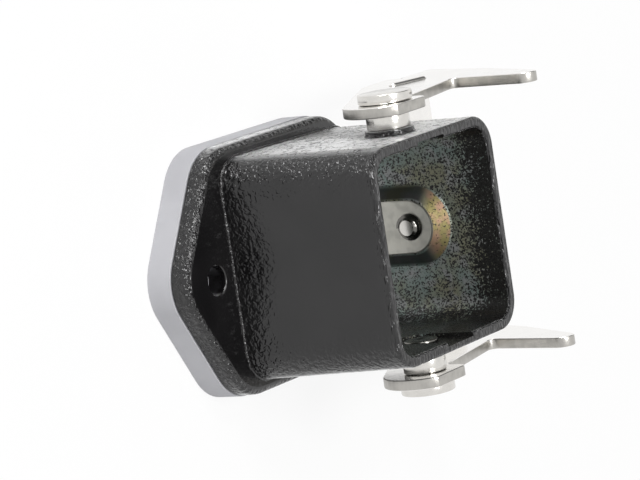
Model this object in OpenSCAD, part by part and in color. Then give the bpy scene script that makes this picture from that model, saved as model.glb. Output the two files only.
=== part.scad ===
// Heavy-duty connector housing for a panel: hood with flange, gasket and locking lever.
// Millimetres. +Z runs out of the mouth, X through the flange holes, Y through the lever pivots.
// The origin is the centre of the gasket's panel face.

/* [Hood] */
// Outer length of the hood, along the mounting holes
hood_l = 25.4; // [23:0.1:30]
// Outer width of the hood, between the pivot sides
hood_w = 24; // [22:0.1:28]
// Height of the mouth above the flange
hood_h = 18.5; // [17:0.5:24]
// Thickness of the hood's walls
hood_wall = 1.2; // [1:0.05:1.6]
// Radius of the hood's outer upright edges
hood_corner_r = 3.5; // [2.5:0.1:5]
// How far the hood's wall away from the strap leans out from the mouth to the flange
hood_lean = 1.45; // [0.5:0.05:2]
// How far the plinth at the hood's foot stands out
plinth_out = 0.2; // [0.1:0.05:0.4]
// Height of that plinth
plinth_h = 0.2; // [0.1:0.05:0.5]

/* [Flange] */
// Thickness of the flange
flange_t = 2.3; // [1.8:0.1:4]
// How far the flange stands out past the pivot sides
flange_side = 1.75; // [1.5:0.05:4]
// Distance of each mounting hole from the hood's wall
hole_offset = 4.7; // [4:0.05:8]
// Radius of the mounting holes
hole_r = 1.65; // [1.5:0.05:2.2]
// Radius of the flange ends about the mounting holes
flange_end_r = 5.45; // [4.5:0.05:8]
// Slant of the flange's sides away from the strap, in degrees off the pivot axis
flange_slant = 32.5; // [28:0.1:36]
// Radius of the flange's four side corners
flange_corner_r = 6; // [3:0.1:8]
// How much nearer to the pivots the two side corners lie at the strap's end
flange_draw_in = 5.2; // [0:0.1:5.5]

/* [Gasket] */
// Thickness of the gasket
gasket_t = 3; // [1:0.1:4]
// How far the gasket stands out past the flange
gasket_overhang = 0.12; // [0:0.02:0.5]
// Room between the gasket and the hood's cavity
gasket_room = 0.4; // [0.1:0.05:1]

/* [Pivots] */
// Depth of the lever's axis below the mouth
pivot_depth = 5.1; // [4.5:0.1:7]
// Radius of the cast pad around each rivet
pad_r = 2.7; // [2.5:0.05:4]
// Height of that pad
pad_h = 0.7; // [0.4:0.05:1.2]
// Radius of the spacer sleeve
spacer_r = 2.4; // [2:0.05:3]
// Length of the spacer sleeve
spacer_h = 1.65; // [1:0.05:3]
// Radius of the rivet's shank
shank_r = 1.5; // [1.2:0.05:1.8]
// Radius of the rivet's head
head_r = 3; // [2.6:0.05:4]
// Thickness of the rivet's head
head_t = 1.05; // [0.6:0.05:2]
// Radius of the swaged tail inside the hood
tail_r = 1.9; // [1.7:0.05:2.4]
// Height of the swaged tail
tail_h = 0.4; // [0.2:0.05:0.6]
// Depth of the channel that clears the tail
channel_depth = 0.45; // [0.3:0.05:0.6]
// Width of that channel
channel_w = 5.4; // [5:0.1:8]
// How far the channel runs below the pivot
channel_tail = 3.2; // [2.8:0.1:5]
// Radial clearance of the shank in the hood's wall
rivet_room = 0.02; // [0.01:0.01:0.05]
// Radial clearance of the shank in lever and spacer
pivot_play = 0.05; // [0.02:0.01:0.1]
// Clearance beside the lever, under the head and over the spacer
side_play = 0.05; // [0.02:0.01:0.2]

/* [Lever] */
// Thickness of the lever's sheet
sheet_t = 1.2; // [0.8:0.05:1.6]
// Radius of the round eye about the pivot
eye_r = 4.75; // [4:0.05:6]
// How far the eye's flat edge lies from the pivot, towards the mouth
eye_flat = 3.55; // [3.3:0.05:4.2]
// How far the eye's front edge lies from the pivot
eye_front = 3.1; // [2.6:0.05:3.6]
// Radius of the corner between those two edges
eye_corner_r = 1; // [0.5:0.1:1.5]
// Radius of the inner corner where the arm leaves the eye
eye_root_r = 0.8; // [0.4:0.1:1.2]
// Distance of the hook's inner corner from the pivot
hook_reach = 16.4; // [15:0.1:20]
// How far that corner lies below the pivot
hook_drop = 1.3; // [0:0.1:2]
// Where the arm's leading edge leaves the eye, above the pivot
arm_rise = 0.85; // [0:0.05:2]
// Height of the hook's tip above the pivot
hook_rise = 9.3; // [7:0.1:13]
// How far the hook's edge leans towards the pivot at its tip
hook_lean = 1.1; // [0:0.1:2]
// Radius of the hook's tip
tip_r = 1.4; // [0.8:0.1:2]
// Radius of the round corner between arm and hook
hook_corner_r = 0.8; // [0.4:0.1:1.5]
// How far the hook's back swells out past a straight line
swell = 0.8; // [0:0.1:1.5]
// Radius of the round corner in the middle of the hook's back
swell_r = 4; // [2:0.5:8]
// Gap between the lever's strap and the flange
strap_gap = 1.25; // [0.6:0.05:3]
// Width of the strap that joins the two arms
strap_w = 6.2; // [3:0.1:8]
// How far the strap starts past the mounting hole
strap_past_hole = 3; // [2.5:0.05:4]
// Inner radius of the bends at the strap's ends
bend_r = 0.8; // [0.5:0.1:1.5]
// Width of the relief notch beside each bend
relief_w = 0.5; // [0.3:0.1:1]
// How far the arm's back edge starts past the hood's wall
arm_past_hood = 0.3; // [0.2:0.1:2]
// Radius of the arm's back corner
arm_corner_r = 2; // [1:0.1:3]
// Radius of the stiffening bead pressed into each arm
bead_r = 0.9; // [0.6:0.05:1.2]
// How far the bead stands out of the arm
bead_h = 0.35; // [0.2:0.05:0.5]
// Length of the bead between the centres of its round ends
bead_l = 3.8; // [2:0.1:5]
// Distance of the bead's middle from the pivot, along the flange
bead_reach = 16; // [13:0.1:18]
// How far the bead's middle lies below the pivot
bead_drop = 6.9; // [5:0.1:8]
// Tilt of the bead, in degrees
bead_tilt = 16.1; // [0:0.1:30]

/* [Insert screw] */
// Depth of the screw's axis below the mouth
screw_depth = 10.8; // [10:0.1:13]
// Radius of the screw's thread
screw_r = 1.5; // [1.2:0.05:1.8]
// Clearance of the thread in the boss
thread_room = 0.05; // [0.02:0.01:0.1]
// Radius of the boss where it meets the wall
boss_foot_r = 4.7; // [4:0.1:6]
// Radius of the boss's flat top
boss_top_r = 3; // [2.6:0.1:3.8]
// Height of the boss inside the hood
boss_h = 1.5; // [0.8:0.1:2]
// How far the screw's tip stands out of the boss
tip_proud = 0.7; // [0.3:0.1:1.5]
// Length of the chamfer at the screw's tip
tip_chamfer = 0.4; // [0.2:0.05:0.6]
// Radius of the screw's head
screw_head_r = 2.75; // [2.4:0.05:3.2]
// Thickness of the screw's head
screw_head_t = 1.6; // [1.2:0.1:2.2]
// Width of the slot in the screw's head
slot_w = 0.8; // [0.5:0.05:1.2]
// Depth of that slot
slot_depth = 0.8; // [0.4:0.05:1]
// Outer radius of the seal under the head
seal_r = 3; // [2.8:0.05:3.8]
// Thickness of the seal
seal_t = 0.7; // [0.5:0.05:1.2]
// Depth of the seal's seat in the hood's wall
seat_depth = 0.5; // [0.2:0.05:0.8]
// Radial room of the seal in its seat
seat_room = 0.15; // [0.05:0.05:0.5]

/* [Hidden] */
$fn = 96;
half_l = hood_l / 2;
half_w = hood_w / 2;
inner_l = half_l - hood_wall;
inner_w = half_w - hood_wall;
inner_corner_r = hood_corner_r - hood_wall;
lean_angle = atan(hood_lean / hood_h);
flange_top = gasket_t + flange_t;
mouth_z = flange_top + hood_h;
flange_half = half_w + flange_side;
hole_x = half_l + hole_offset;
pivot_z = mouth_z - pivot_depth;
pad_y = half_w + pad_h;
channel_y = inner_w + channel_depth;
spacer_y = pad_y + spacer_h;
arm_y = spacer_y + side_play;
rivet_head_y = arm_y + sheet_t + side_play;
eye_hole_r = shank_r + pivot_play;
strap_drop = pivot_z - flange_top - strap_gap;
strap_x = hole_x + strap_past_hole;
handle_x = strap_x + strap_w;
bend_outer = bend_r + sheet_t;
screw_z = mouth_z - screw_depth;
boss_x = inner_l - boss_h;
seat_x = half_l - seat_depth;
screw_head_x = seat_x + seal_t;
// Overlap by which joined shapes of one casting run into each other
lap = 0.4;
// Length by which a cut runs past the faces that it opens
past = 1;

// Outward normal of the line that touches circles a and b, each [x, y, r], on the right from a to b
function touch(a, b) =
    let (d = [b[0] - a[0], b[1] - a[1]], l = norm(d), s = (a[2] - b[2]) / l, c = sqrt(1 - s * s))
    [d[1] / l * c + d[0] / l * s, -d[0] / l * c + d[1] / l * s];

// The point of circle a where that line touches it
function on(a, n) = [a[0] + a[2] * n[0], a[1] + a[2] * n[1]];

// Both touching points of the line from circle a to circle b
function edge(a, b) = let (n = touch(a, b)) [on(a, n), on(b, n)];

// Outline through circles taken anticlockwise, with straight sides between them and true round corners
module round_outline(circles) {
    count = len(circles);
    polygon([for (i = [0 : count - 1]) each edge(circles[i], circles[(i + 1) % count])]);
    for (c = circles) if (c[2] > 0) translate([c[0], c[1]]) circle(c[2]);
}

// Oblong with round corners, from its half length, half width and corner radius
module round_oblong(half_x, half_y, r) {
    x = half_x - r;
    y = half_y - r;
    round_outline([[x, y, r], [-x, y, r], [-x, -y, r], [x, -y, r]]);
}

// Six-sided flange outline, grown outwards by a distance
module flange_outline(grow) {
    side_y = flange_half - flange_corner_r;
    // Distance of the slanted side from the origin, along its own normal
    side_d = hole_x * cos(flange_slant) + flange_end_r;
    side_x = (side_d - flange_corner_r - side_y * sin(flange_slant)) / cos(flange_slant);
    strap_side_x = side_x - flange_draw_in;
    corner_r = flange_corner_r + grow;
    end_r = flange_end_r + grow;
    round_outline([[hole_x, 0, end_r], [strap_side_x, side_y, corner_r], [-side_x, side_y, corner_r],
                   [-hole_x, 0, end_r], [-side_x, -side_y, corner_r], [strap_side_x, -side_y, corner_r]]);
}

module mounting_holes(z, h) {
    for (side = [-1, 1]) translate([side * hole_x, 0, z]) cylinder(r = hole_r, h = h);
}

// Prism behind the leaning wall, which runs on past the hood's other end
module leaning_prism() {
    translate([-half_l, 0, mouth_z]) rotate([0, lean_angle, 0]) translate([hood_l, 0, -2 * hood_h])
        linear_extrude(3 * hood_h) round_oblong(hood_l, half_w, hood_corner_r);
}

// Solid hood, with a leaning wall at one end and an upright one at the strap's end
module hood_block() {
    intersection() {
        leaning_prism();
        translate([-half_l, 0, gasket_t]) linear_extrude(mouth_z - gasket_t)
            round_oblong(hood_l, half_w, hood_corner_r);
    }
}

// Low plinth round the hood's foot, cut off where the flange is narrow
module hood_plinth() {
    middle = hood_lean / 2;
    translate([0, 0, flange_top - lap]) linear_extrude(lap + plinth_h) intersection() {
        translate([-middle, 0])
            round_oblong(half_l + middle + plinth_out, half_w + plinth_out, hood_corner_r + plinth_out);
        flange_outline(0);
    }
}

// A shape drawn along +Z, laid along the pivot axis from y outwards, on the upper (+1) or lower (-1) side
module on_pivot(side, y) {
    translate([0, side * y, pivot_z]) rotate([-90 * side, 0, 0]) children();
}

// A shape drawn along +Z, laid along +X on the screw's axis from x outwards
module on_screw(x) {
    translate([x, 0, screw_z]) rotate([0, 90, 0]) children();
}

// Boss that takes the screw: round towards the mouth, straight down to the panel side
module screw_boss() {
    on_screw(boss_x) {
        cylinder(r1 = boss_top_r, r2 = boss_foot_r, h = boss_h);
        translate([0, 0, boss_h]) cylinder(r = boss_foot_r, h = lap);
    }
    translate([boss_x, 0, gasket_t]) linear_extrude(screw_z - gasket_t)
        polygon([[0, -boss_top_r], [boss_h, -boss_foot_r], [boss_h + lap, -boss_foot_r],
                 [boss_h + lap, boss_foot_r], [boss_h, boss_foot_r], [0, boss_top_r]]);
}

// Channel in a pivot wall that lets an insert pass the rivet's tail, with a round lower end
module tail_channel(side) {
    half = channel_w / 2;
    foot = pivot_z - channel_tail + half;
    inner = inner_w - lap;
    depth = channel_y - inner;
    translate([0, side > 0 ? channel_y : -inner, 0]) rotate([90, 0, 0]) linear_extrude(depth) {
        translate([-half, foot]) square([channel_w, mouth_z - foot + past]);
        translate([0, foot]) circle(half);
    }
}

module housing_body() {
    color([0.07, 0.07, 0.075]) difference() {
        union() {
            translate([0, 0, gasket_t]) linear_extrude(flange_t) flange_outline(0);
            hood_block();
            hood_plinth();
            for (side = [-1, 1]) on_pivot(side, half_w - lap) cylinder(r = pad_r, h = pad_h + lap);
        }
        difference() {
            translate([0, 0, gasket_t - past]) linear_extrude(mouth_z + past)
                round_oblong(inner_l, inner_w, inner_corner_r);
            screw_boss();
        }
        for (side = [-1, 1]) {
            tail_channel(side);
            on_pivot(side, inner_w) cylinder(r = shank_r + rivet_room, h = pad_y - inner_w + past);
        }
        on_screw(boss_x - past) cylinder(r = screw_r + thread_room, h = half_l - boss_x + 2 * past);
        on_screw(seat_x) cylinder(r = seal_r + seat_room, h = seat_depth + past);
        mounting_holes(gasket_t - past, flange_t + 2 * past);
    }
}

module flange_gasket() {
    color([0.72, 0.72, 0.74]) difference() {
        linear_extrude(gasket_t) flange_outline(gasket_overhang);
        translate([0, 0, -past]) linear_extrude(gasket_t + 2 * past)
            round_oblong(inner_l + gasket_room, inner_w + gasket_room, inner_corner_r + gasket_room);
        mounting_holes(-past, gasket_t + 2 * past);
    }
}

function unit(v) = v / norm(v);

// Rounds the inner corner between the edges that run from it towards a and b
module inner_round(corner, a, b, r) {
    along_a = unit(a - corner);
    along_b = unit(b - corner);
    half = acos(along_a * along_b) / 2;
    middle = unit(along_a + along_b);
    reach = r / tan(half);
    centre = corner + middle * r / sin(half);
    difference() {
        polygon([corner - middle * lap, corner + along_a * reach, centre, corner + along_b * reach]);
        translate(centre) circle(r);
    }
}

// Round eye with a flat towards the mouth and a flat front
module eye_outline() {
    intersection() {
        circle(eye_r);
        round_outline([[eye_front - eye_corner_r, eye_flat - eye_corner_r, eye_corner_r],
                       [-eye_r, eye_flat, 0], [-eye_r, -eye_r, 0], [eye_front, -eye_r, 0]]);
    }
}

// Flat outline of one arm, with the pivot at the origin, +X to the right and +Z up
module arm_outline() {
    bend_z = bend_outer - strap_drop;
    eye = [0, 0, eye_r];
    back_corner = [half_l + arm_past_hood + arm_corner_r, arm_corner_r - strap_drop, arm_corner_r];
    notch_x = strap_x - relief_w;
    strap_corner = [handle_x, bend_z, 0];
    tip = [hook_reach - hook_lean + tip_r, hook_rise - tip_r, tip_r];
    // Round middle of the hook's back, touching a line that lies swell outside the straight one
    back_n = touch(strap_corner, tip);
    back_mid = (on(strap_corner, back_n) + on(tip, back_n)) / 2 + (swell - swell_r) * back_n;
    swelling = [back_mid[0], back_mid[1], swell_r];
    hook_corner = [hook_reach, -hook_drop];
    hook_edge = edge(tip, [hook_reach, -hook_drop, 0])[0];
    leave = [eye_front, arm_rise];
    polygon(concat([[0, 0]], edge(eye, back_corner),
                   [on(back_corner, [0, -1]), [notch_x, -strap_drop], [notch_x, bend_z]],
                   edge(strap_corner, swelling), edge(swelling, tip), [hook_edge, hook_corner, leave]));
    eye_outline();
    for (c = [back_corner, swelling, tip]) translate([c[0], c[1]]) circle(c[2]);
    inner_round(hook_corner, hook_edge, leave, hook_corner_r);
    inner_round(leave, [eye_front, eye_flat], hook_corner, eye_root_r);
}

// Bead pressed out of the arm's outer face, with round ends
module arm_bead() {
    translate([bead_reach, arm_y + sheet_t + bead_h - bead_r, pivot_z - bead_drop])
        rotate([0, -bead_tilt, 0]) translate([-bead_l / 2, 0, 0]) {
            rotate([0, 90, 0]) cylinder(r = bead_r, h = bead_l);
            for (x = [0, bead_l]) translate([x, 0, 0]) sphere(bead_r);
        }
}

// Upper arm with the bend that leads into the strap
module lever_arm() {
    difference() {
        translate([0, arm_y + sheet_t, pivot_z]) rotate([90, 0, 0]) linear_extrude(sheet_t) arm_outline();
        on_pivot(1, arm_y - past) cylinder(r = eye_hole_r, h = sheet_t + 2 * past);
    }
    intersection() {
        arm_bead();
        translate([0, arm_y, 0]) cube([handle_x, 2 * sheet_t, mouth_z]);
    }
    translate([strap_x, arm_y - bend_r, pivot_z - strap_drop + bend_outer]) rotate([90, 0, 90])
        linear_extrude(strap_w) intersection() {
            difference() {
                circle(bend_outer);
                circle(bend_r);
            }
            translate([0, -bend_outer]) square(bend_outer);
        }
}

module locking_lever() {
    strap_half = arm_y - bend_r;
    color([0.78, 0.77, 0.75]) {
        lever_arm();
        mirror([0, 1, 0]) lever_arm();
        translate([strap_x, -strap_half, pivot_z - strap_drop]) cube([strap_w, 2 * strap_half, sheet_t]);
    }
}

module pivot_rivet(side) {
    tail_y = channel_y - tail_h;
    color([0.8, 0.79, 0.77]) {
        on_pivot(side, tail_y) cylinder(r = tail_r, h = tail_h);
        on_pivot(side, tail_y) cylinder(r = shank_r, h = rivet_head_y - tail_y + head_t);
        on_pivot(side, rivet_head_y) cylinder(r = head_r, h = head_t);
    }
}

module pivot_spacer(side) {
    color([0.82, 0.81, 0.78]) on_pivot(side, pad_y) difference() {
        cylinder(r = spacer_r, h = spacer_h);
        translate([0, 0, -past]) cylinder(r = shank_r + pivot_play, h = spacer_h + 2 * past);
    }
}

module insert_screw() {
    tip_x = boss_x - tip_proud;
    color([0.75, 0.74, 0.7]) difference() {
        union() {
            on_screw(tip_x) cylinder(r1 = screw_r - tip_chamfer, r2 = screw_r, h = tip_chamfer);
            on_screw(tip_x + tip_chamfer) cylinder(r = screw_r, h = screw_head_x - tip_x - tip_chamfer);
            on_screw(screw_head_x) cylinder(r = screw_head_r, h = screw_head_t);
        }
        on_screw(screw_head_x + screw_head_t - slot_depth)
            translate([-slot_w / 2, -screw_head_r - past, 0])
            cube([slot_w, 2 * (screw_head_r + past), slot_depth + past]);
    }
}

module screw_seal() {
    color([0.12, 0.12, 0.12]) on_screw(seat_x) difference() {
        cylinder(r = seal_r, h = seal_t);
        translate([0, 0, -past]) cylinder(r = screw_r + thread_room, h = seal_t + 2 * past);
    }
}

housing_body();
flange_gasket();
locking_lever();
pivot_rivet(1);  // upper_pivot_rivet
pivot_rivet(-1);  // lower_pivot_rivet
pivot_spacer(1);  // upper_pivot_spacer
pivot_spacer(-1);  // lower_pivot_spacer
insert_screw();
screw_seal();
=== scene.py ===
"""Looks of a heavy-duty connector housing: hood, flange gasket, locking lever, rivets and screw.

Every piece is drawn in millimetres in the part's own frame and scaled to metres when it is finished.
"""
from __future__ import annotations

import logging
import math
from collections.abc import Callable
from dataclasses import dataclass
from enum import Enum
from typing import Any

import bmesh
import bpy
from bmesh.types import BMEdge, BMFace, BMVert
from mathutils import Matrix, Vector

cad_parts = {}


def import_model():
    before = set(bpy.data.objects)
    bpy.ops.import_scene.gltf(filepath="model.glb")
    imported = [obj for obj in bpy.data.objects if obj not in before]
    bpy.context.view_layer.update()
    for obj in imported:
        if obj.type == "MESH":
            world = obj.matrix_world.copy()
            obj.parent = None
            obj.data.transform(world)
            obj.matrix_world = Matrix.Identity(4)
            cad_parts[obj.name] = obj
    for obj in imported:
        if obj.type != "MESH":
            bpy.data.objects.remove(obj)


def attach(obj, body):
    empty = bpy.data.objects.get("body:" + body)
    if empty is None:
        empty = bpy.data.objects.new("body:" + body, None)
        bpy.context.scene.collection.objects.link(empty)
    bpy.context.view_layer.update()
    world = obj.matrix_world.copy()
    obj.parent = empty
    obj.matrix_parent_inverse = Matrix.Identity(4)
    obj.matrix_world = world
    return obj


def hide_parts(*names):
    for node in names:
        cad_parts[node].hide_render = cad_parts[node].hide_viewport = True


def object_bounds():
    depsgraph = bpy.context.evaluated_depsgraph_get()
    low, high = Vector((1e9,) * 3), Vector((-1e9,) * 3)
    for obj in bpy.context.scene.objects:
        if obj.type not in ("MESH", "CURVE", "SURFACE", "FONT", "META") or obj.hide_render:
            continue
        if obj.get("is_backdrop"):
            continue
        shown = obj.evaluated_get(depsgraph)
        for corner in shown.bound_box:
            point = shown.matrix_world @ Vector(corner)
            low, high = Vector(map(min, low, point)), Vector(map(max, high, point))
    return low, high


LOG = logging.getLogger("connector_housing")
MM = 0.001
ARC_STEP = math.radians(6.0)
FULL_TURN = 2.0 * math.pi
RIGHT_ANGLE = math.radians(90.0)
SHARP = math.radians(38.0)
MERGE = 1e-4
ROUND_STEPS = 6
PLAIN_TURN = 64
FINE_TURN = 96
ENDS = (-1, 1)
WHITE = (1.0, 1.0, 1.0, 1.0)
Circle = tuple[float, float, float]
Colour = tuple[float, float, float]
Triple = tuple[float, float, float]
Span = tuple[float, float]


class Join(Enum):
    """Ways in which one closed shape meets another."""

    ADD = "UNION"
    CUT = "DIFFERENCE"


class Side(Enum):
    """The two pivot sides of the hood."""

    UPPER = 1
    LOWER = -1


def quarter(steps: int = ROUND_STEPS) -> list[float]:
    """Angles from zero to a right angle, in radians."""
    return [RIGHT_ANGLE * index / steps for index in range(steps + 1)]


def round_over(width: float, steps: int = ROUND_STEPS) -> list[Span]:
    """Quarter round of an edge, as ways inwards and downwards from it, from the wall up to the top."""
    return [(width * (1 - math.cos(a)), width * (1 - math.sin(a))) for a in quarter(steps)]


def along_y(y: float, z: float, way: int = -1) -> Matrix:
    """Lays a shape that is drawn along +Z along the Y axis, from a place and in one of its two ways."""
    return Matrix.Translation((0, y, z)) @ Matrix.Rotation(-way * RIGHT_ANGLE, 4, "X")


def shaded(colour: Colour, share: float) -> Colour:
    """A colour darkened to a share of its light."""
    return tuple(channel * share for channel in colour)


def touching_line(a: Circle, b: Circle) -> tuple[Vector, Vector]:
    """Line that touches two circles, on the right of the way from one to the other.

    A positive radius is passed anticlockwise, a negative one clockwise, and zero is a sharp corner.

    Args:
        a: First circle, as x, y and signed radius.
        b: Second circle.

    Returns:
        The touching points on a and on b.
    """
    way = Vector((b[0] - a[0], b[1] - a[1]))
    along = way.normalized()
    lean = max(-1.0, min(1.0, (a[2] - b[2]) / way.length))
    right = Vector((along.y, -along.x))
    normal = right * math.sqrt(1.0 - lean * lean) + along * lean
    return Vector(a[:2]) + normal * a[2], Vector(b[:2]) + normal * b[2]


def inner_corner(corner: Vector, a: Vector, b: Vector, radius: float) -> Circle:
    """Circle that rounds an inner corner of an outline.

    Args:
        corner: The sharp corner.
        a: A point on the edge before it.
        b: A point on the edge after it.
        radius: Radius of the round.

    Returns:
        The circle, with the negative radius that marks an inner corner.
    """
    to_a = (a - corner).normalized()
    to_b = (b - corner).normalized()
    half = to_a.angle(to_b) / 2.0
    centre = corner + (to_a + to_b).normalized() * (radius / math.sin(half))
    return centre.x, centre.y, -radius


def arc_angle(circle: Circle, arrive: Vector, leave: Vector) -> float:
    """Angle of the arc on a circle between two of its points.

    Args:
        circle: The circle, with its signed radius.
        arrive: Where the outline reaches it.
        leave: Where the outline leaves it.

    Returns:
        The angle in radians, positive anticlockwise.
    """
    centre = Vector(circle[:2])
    start = arrive - centre
    stop = leave - centre
    turn = math.atan2(stop.y, stop.x) - math.atan2(start.y, start.x)
    turn = turn % FULL_TURN if circle[2] > 0 else -((-turn) % FULL_TURN)
    return 0.0 if abs(turn) > FULL_TURN - MERGE else turn


class Shape:
    """A closed mesh in millimetres while it is being modelled."""

    def __init__(self) -> None:
        """Starts an empty mesh."""
        self.bm = bmesh.new()

    def trace(self, circles: list[Circle], z: float = 0.0) -> list[BMEdge]:
        """Draws a closed outline through signed circles.

        Args:
            circles: The circles in the order that the outline passes them.
            z: Height of the outline's plane.

        Returns:
            The outline's edges.
        """
        bm = self.bm
        lines = [touching_line(a, b) for a, b in zip(circles, circles[1:] + circles[:1])]
        old = set(bm.verts)
        arrive = lines[-1][1]
        tip = bm.verts.new((arrive.x, arrive.y, z))
        for circle, (leave, reach) in zip(circles, lines):
            angle = arc_angle(circle, arrive, leave) if circle[2] else 0.0
            if abs(angle) > MERGE:
                steps = max(1, round(abs(angle) / ARC_STEP))
                made = bmesh.ops.spin(bm, geom=[tip], cent=(circle[0], circle[1], z), axis=(0, 0, 1),
                                      angle=angle, steps=steps, use_duplicate=False)
                tip = next(item for item in made["geom_last"] if isinstance(item, BMVert))
            tip = bmesh.ops.extrude_vert_indiv(bm, verts=[tip])["verts"][0]
            tip.co = (reach.x, reach.y, z)
            arrive = reach
        bmesh.ops.remove_doubles(bm, verts=[v for v in bm.verts if v not in old], dist=MERGE)
        return list(dict.fromkeys(edge for v in bm.verts if v not in old for edge in v.link_edges))

    def plate(self, circles: list[Circle], low: float, high: float) -> "Shape":
        """Adds a prism of an outline.

        Args:
            circles: Signed circles of the outline.
            low: Height of its lower face.
            high: Height of its upper face.

        Returns:
            The shape itself.
        """
        face = bmesh.ops.edgeloop_fill(self.bm, edges=self.trace(circles, low))["faces"][0]
        made = bmesh.ops.extrude_face_region(self.bm, geom=[face], use_keep_orig=True)["geom"]
        verts = [item for item in made if isinstance(item, BMVert)]
        bmesh.ops.translate(self.bm, verts=verts, vec=(0, 0, high - low))
        return self.outward()

    def loft(self, rings: list[list[BMEdge]]) -> "Shape":
        """Skins the rings one after the other and caps both ends.

        Args:
            rings: Edge loops in order.

        Returns:
            The shape itself.
        """
        for a, b in zip(rings, rings[1:]):
            bmesh.ops.bridge_loops(self.bm, edges=a + b)
        for ring in (rings[0], rings[-1]):
            bmesh.ops.edgeloop_fill(self.bm, edges=ring)
        return self.outward()

    def turned(self, profile: list[Span], steps: int = PLAIN_TURN) -> "Shape":
        """Adds a body turned about Z.

        Args:
            profile: Radius and height of each corner, along the body's outside or round a ring.
            steps: Facets in a full turn.

        Returns:
            The shape itself.
        """
        verts = [self.bm.verts.new((radius, 0.0, height)) for radius, height in profile]
        closed = profile[0][0] > 0.0
        pairs = zip(verts, verts[1:] + (verts[:1] if closed else []))
        edges = [self.bm.edges.new(pair) for pair in pairs]
        bmesh.ops.spin(self.bm, geom=verts + edges, cent=(0, 0, 0), axis=(0, 0, 1), angle=FULL_TURN,
                       steps=steps, use_merge=True, use_duplicate=False)
        bmesh.ops.remove_doubles(self.bm, verts=self.bm.verts, dist=MERGE)
        return self.outward()

    def block(self, low: Vector, high: Vector) -> "Shape":
        """Adds a box.

        Args:
            low: Its lowest corner.
            high: Its highest corner.

        Returns:
            The shape itself.
        """
        size = high - low
        place = Matrix.Translation((low + high) / 2.0) @ Matrix.Diagonal((*size, 1.0))
        bmesh.ops.create_cube(self.bm, size=1.0, matrix=place)
        return self

    def outward(self) -> "Shape":
        """Turns every face outwards and returns the shape itself."""
        bmesh.ops.recalc_face_normals(self.bm, faces=self.bm.faces)
        return self

    def place(self, matrix: Matrix) -> "Shape":
        """Moves the whole shape and returns it."""
        bmesh.ops.transform(self.bm, matrix=matrix, verts=self.bm.verts)
        return self.outward()

    def soften(self, width: float, segments: int = 3, over: float = 40.0,
               where: Callable[[BMEdge], bool] = lambda edge: True) -> "Shape":
        """Rounds the sharp edges.

        Args:
            width: Width of the round on each side of an edge.
            segments: Facets across the round.
            over: Smallest angle between two faces that counts as sharp, in degrees.
            where: Test that an edge has to pass.

        Returns:
            The shape itself.
        """
        limit = math.radians(over)
        edges = [e for e in self.bm.edges if e.is_manifold and e.calc_face_angle() > limit and where(e)]
        bmesh.ops.bevel(self.bm, geom=edges, offset=width, offset_type="OFFSET", affect="EDGES",
                        segments=segments, profile=0.5, material=-1, clamp_overlap=True)
        bmesh.ops.remove_doubles(self.bm, verts=self.bm.verts, dist=MERGE)
        return self

    def mesh(self, name: str) -> bpy.types.Mesh:
        """Copies the shape to a new mesh.

        Args:
            name: The mesh's name.

        Returns:
            The mesh.
        """
        mesh = bpy.data.meshes.new(name)
        self.bm.to_mesh(mesh)
        return mesh

    def meet(self, other: "Shape", how: Join) -> "Shape":
        """Adds another closed shape to this one, or cuts it out of it.

        Args:
            other: The other shape, which is used up.
            how: What to do with it.

        Returns:
            The shape itself.
        """
        host = bpy.data.objects.new("host", self.mesh("host"))
        tool = bpy.data.objects.new("tool", other.mesh("tool"))
        for item in (host, tool):
            bpy.context.scene.collection.objects.link(item)
        modifier = host.modifiers.new("meet", "BOOLEAN")
        modifier.operation = how.value
        modifier.solver = "EXACT"
        modifier.object = tool
        graph = bpy.context.evaluated_depsgraph_get()
        result = bpy.data.meshes.new_from_object(host.evaluated_get(graph))
        self.bm.clear()
        self.bm.from_mesh(result)
        for item in (host, tool):
            bpy.data.meshes.remove(item.data)
        bpy.data.meshes.remove(result)
        bmesh.ops.remove_doubles(self.bm, verts=self.bm.verts, dist=MERGE)
        return self

    def paint(self, index: int, where: Callable[[BMFace], bool]) -> "Shape":
        """Gives the faces that pass a test one of the piece's finishes.

        Args:
            index: Place of the finish in the piece's list.
            where: Test that a face has to pass.

        Returns:
            The shape itself.
        """
        for face in self.bm.faces:
            if where(face):
                face.material_index = index
        return self

    def finished(self, piece: "Piece", finishes: list["Finish"]) -> bpy.types.Object:
        """Makes the shape an object of the scene, in metres.

        Args:
            piece: Its name and what it stands for.
            finishes: Its finishes, in the order of the material indices.

        Returns:
            The object, riding on its body.
        """
        bmesh.ops.scale(self.bm, vec=(MM, MM, MM), verts=self.bm.verts)
        mesh = self.mesh(piece.name)
        self.bm.free()
        mesh.shade_smooth()
        mesh.set_sharp_from_angle(angle=SHARP)
        for finish in finishes:
            mesh.materials.append(finish.material())
        item = bpy.data.objects.new(piece.name, mesh)
        bpy.context.scene.collection.objects.link(item)
        weights = item.modifiers.new("flat_faces", "WEIGHTED_NORMAL")
        weights.keep_sharp = True
        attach(item, piece.body)
        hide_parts(piece.node)
        LOG.info("%s: %d faces, rides on %s", piece.name, len(mesh.polygons), piece.body)
        return item


@dataclass(frozen=True)
class Piece:
    """Name of a piece, the body it rides on, the solid it stands for and its material slot."""

    name: str
    body: str
    node: str
    slot: str


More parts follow.
